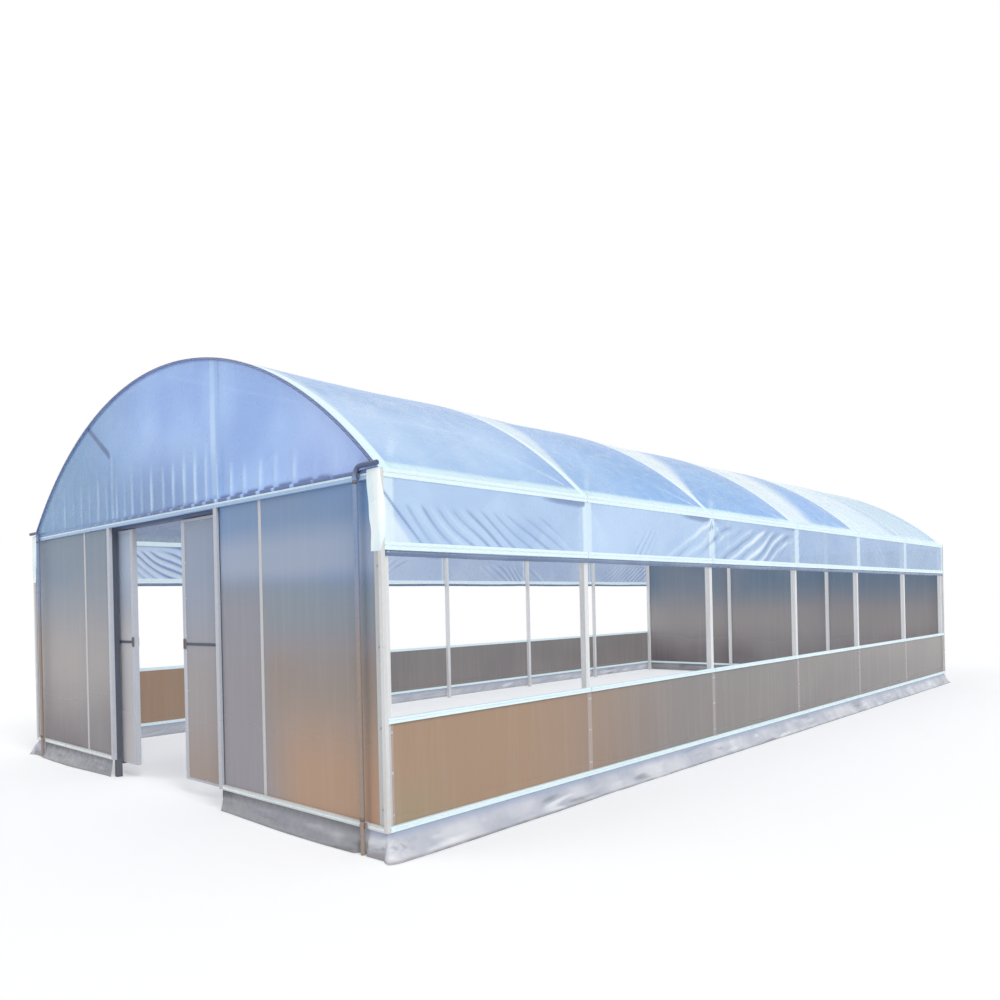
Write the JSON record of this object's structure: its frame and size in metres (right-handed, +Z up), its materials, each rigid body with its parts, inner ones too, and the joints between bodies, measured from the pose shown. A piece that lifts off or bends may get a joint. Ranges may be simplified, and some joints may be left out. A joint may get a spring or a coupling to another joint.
{
  "type": "polytunnel greenhouse",
  "caption": "Polytunnel greenhouse with straight sides, open side vents, an arched film roof, twin-wall end walls and a sliding double door",
  "frame": {"origin": "on the ground at the middle of the plan", "axes": "+X across the front to the right, +Y along the ridge away from the door, +Z up"},
  "size_m": [6.18, 12.71, 3.63],
  "materials": {
    "roof_film": "clear polyethylene film with a cool haze",
    "film": "clear polyethylene film, wrinkled where it is pinned",
    "skirt_film": "used clear film, dusty at the hem",
    "twin_wall_sheet": "fluted twin-wall polycarbonate",
    "white_rail": "white coated rail",
    "white_post": "light grey coated square tube",
    "galvanised_tube": "galvanised round tube",
    "leaf_frame": "light grey coated tube",
    "dark_steel": "dark grey steel"
  },
  "bodies": {
    "shell": {"back_base_rail": "white_rail", "back_beam": "white_rail", "back_gable_posts": "white_post", "back_sheets": "twin_wall_sheet", "back_skirt": "skirt_film", "base_rail_left": "white_rail", "base_rail_right": "white_rail", "corner_channels": "white_rail", "door_guides": "dark_steel", "door_jambs": "leaf_frame", "door_post_left": "white_post", "door_post_right": "white_post", "door_track": "dark_steel", "eave_rail_left": "white_rail", "eave_rail_right": "white_rail", "front_base_rails": "white_rail", "front_beam": "white_rail", "front_sheet_left": "twin_wall_sheet", "front_sheet_right": "twin_wall_sheet", "front_skirts": "skirt_film", "gable_brace": "galvanised_tube", "gable_film_back": "film", "gable_film_front": "film", "guide_pipe_left": "dark_steel", "guide_pipe_right": "dark_steel", "hoop_1": "galvanised_tube", "hoop_2": "galvanised_tube", "hoop_3": "galvanised_tube", "hoop_4": "galvanised_tube", "hoop_5": "galvanised_tube", "hoop_6": "galvanised_tube", "hoop_7": "galvanised_tube", "low_wall_left": "twin_wall_sheet", "low_wall_right": "twin_wall_sheet", "posts_left": "white_post", "posts_right": "white_post", "ridge_purlin": "galvanised_tube", "roof_film": "roof_film", "side_film_left": "film", "side_film_right": "film", "sill_rail_left": "white_rail", "sill_rail_right": "white_rail", "skirt_corners": "skirt_film", "skirt_left": "skirt_film", "skirt_right": "skirt_film", "vent_head_rail_left": "white_rail", "vent_head_rail_right": "white_rail"},
    "door_left": {"door_left_frame": "leaf_frame", "door_left_handle": "dark_steel", "door_left_panes": "twin_wall_sheet", "door_left_trolleys": "dark_steel"},
    "door_right": {"door_right_frame": "leaf_frame", "door_right_handle": "dark_steel", "door_right_panes": "twin_wall_sheet", "door_right_trolleys": "dark_steel"}
  },
  "joints": [
    {"name": "door_left_slide", "type": "slide", "parent": "shell", "child": "door_left", "axis": [-1, 0, 0], "range_m": [-0.678, 0.294]},
    {"name": "door_right_slide", "type": "slide", "parent": "shell", "child": "door_right", "axis": [1, 0, 0], "range_m": [-0.261, 0.711]}
  ]
}
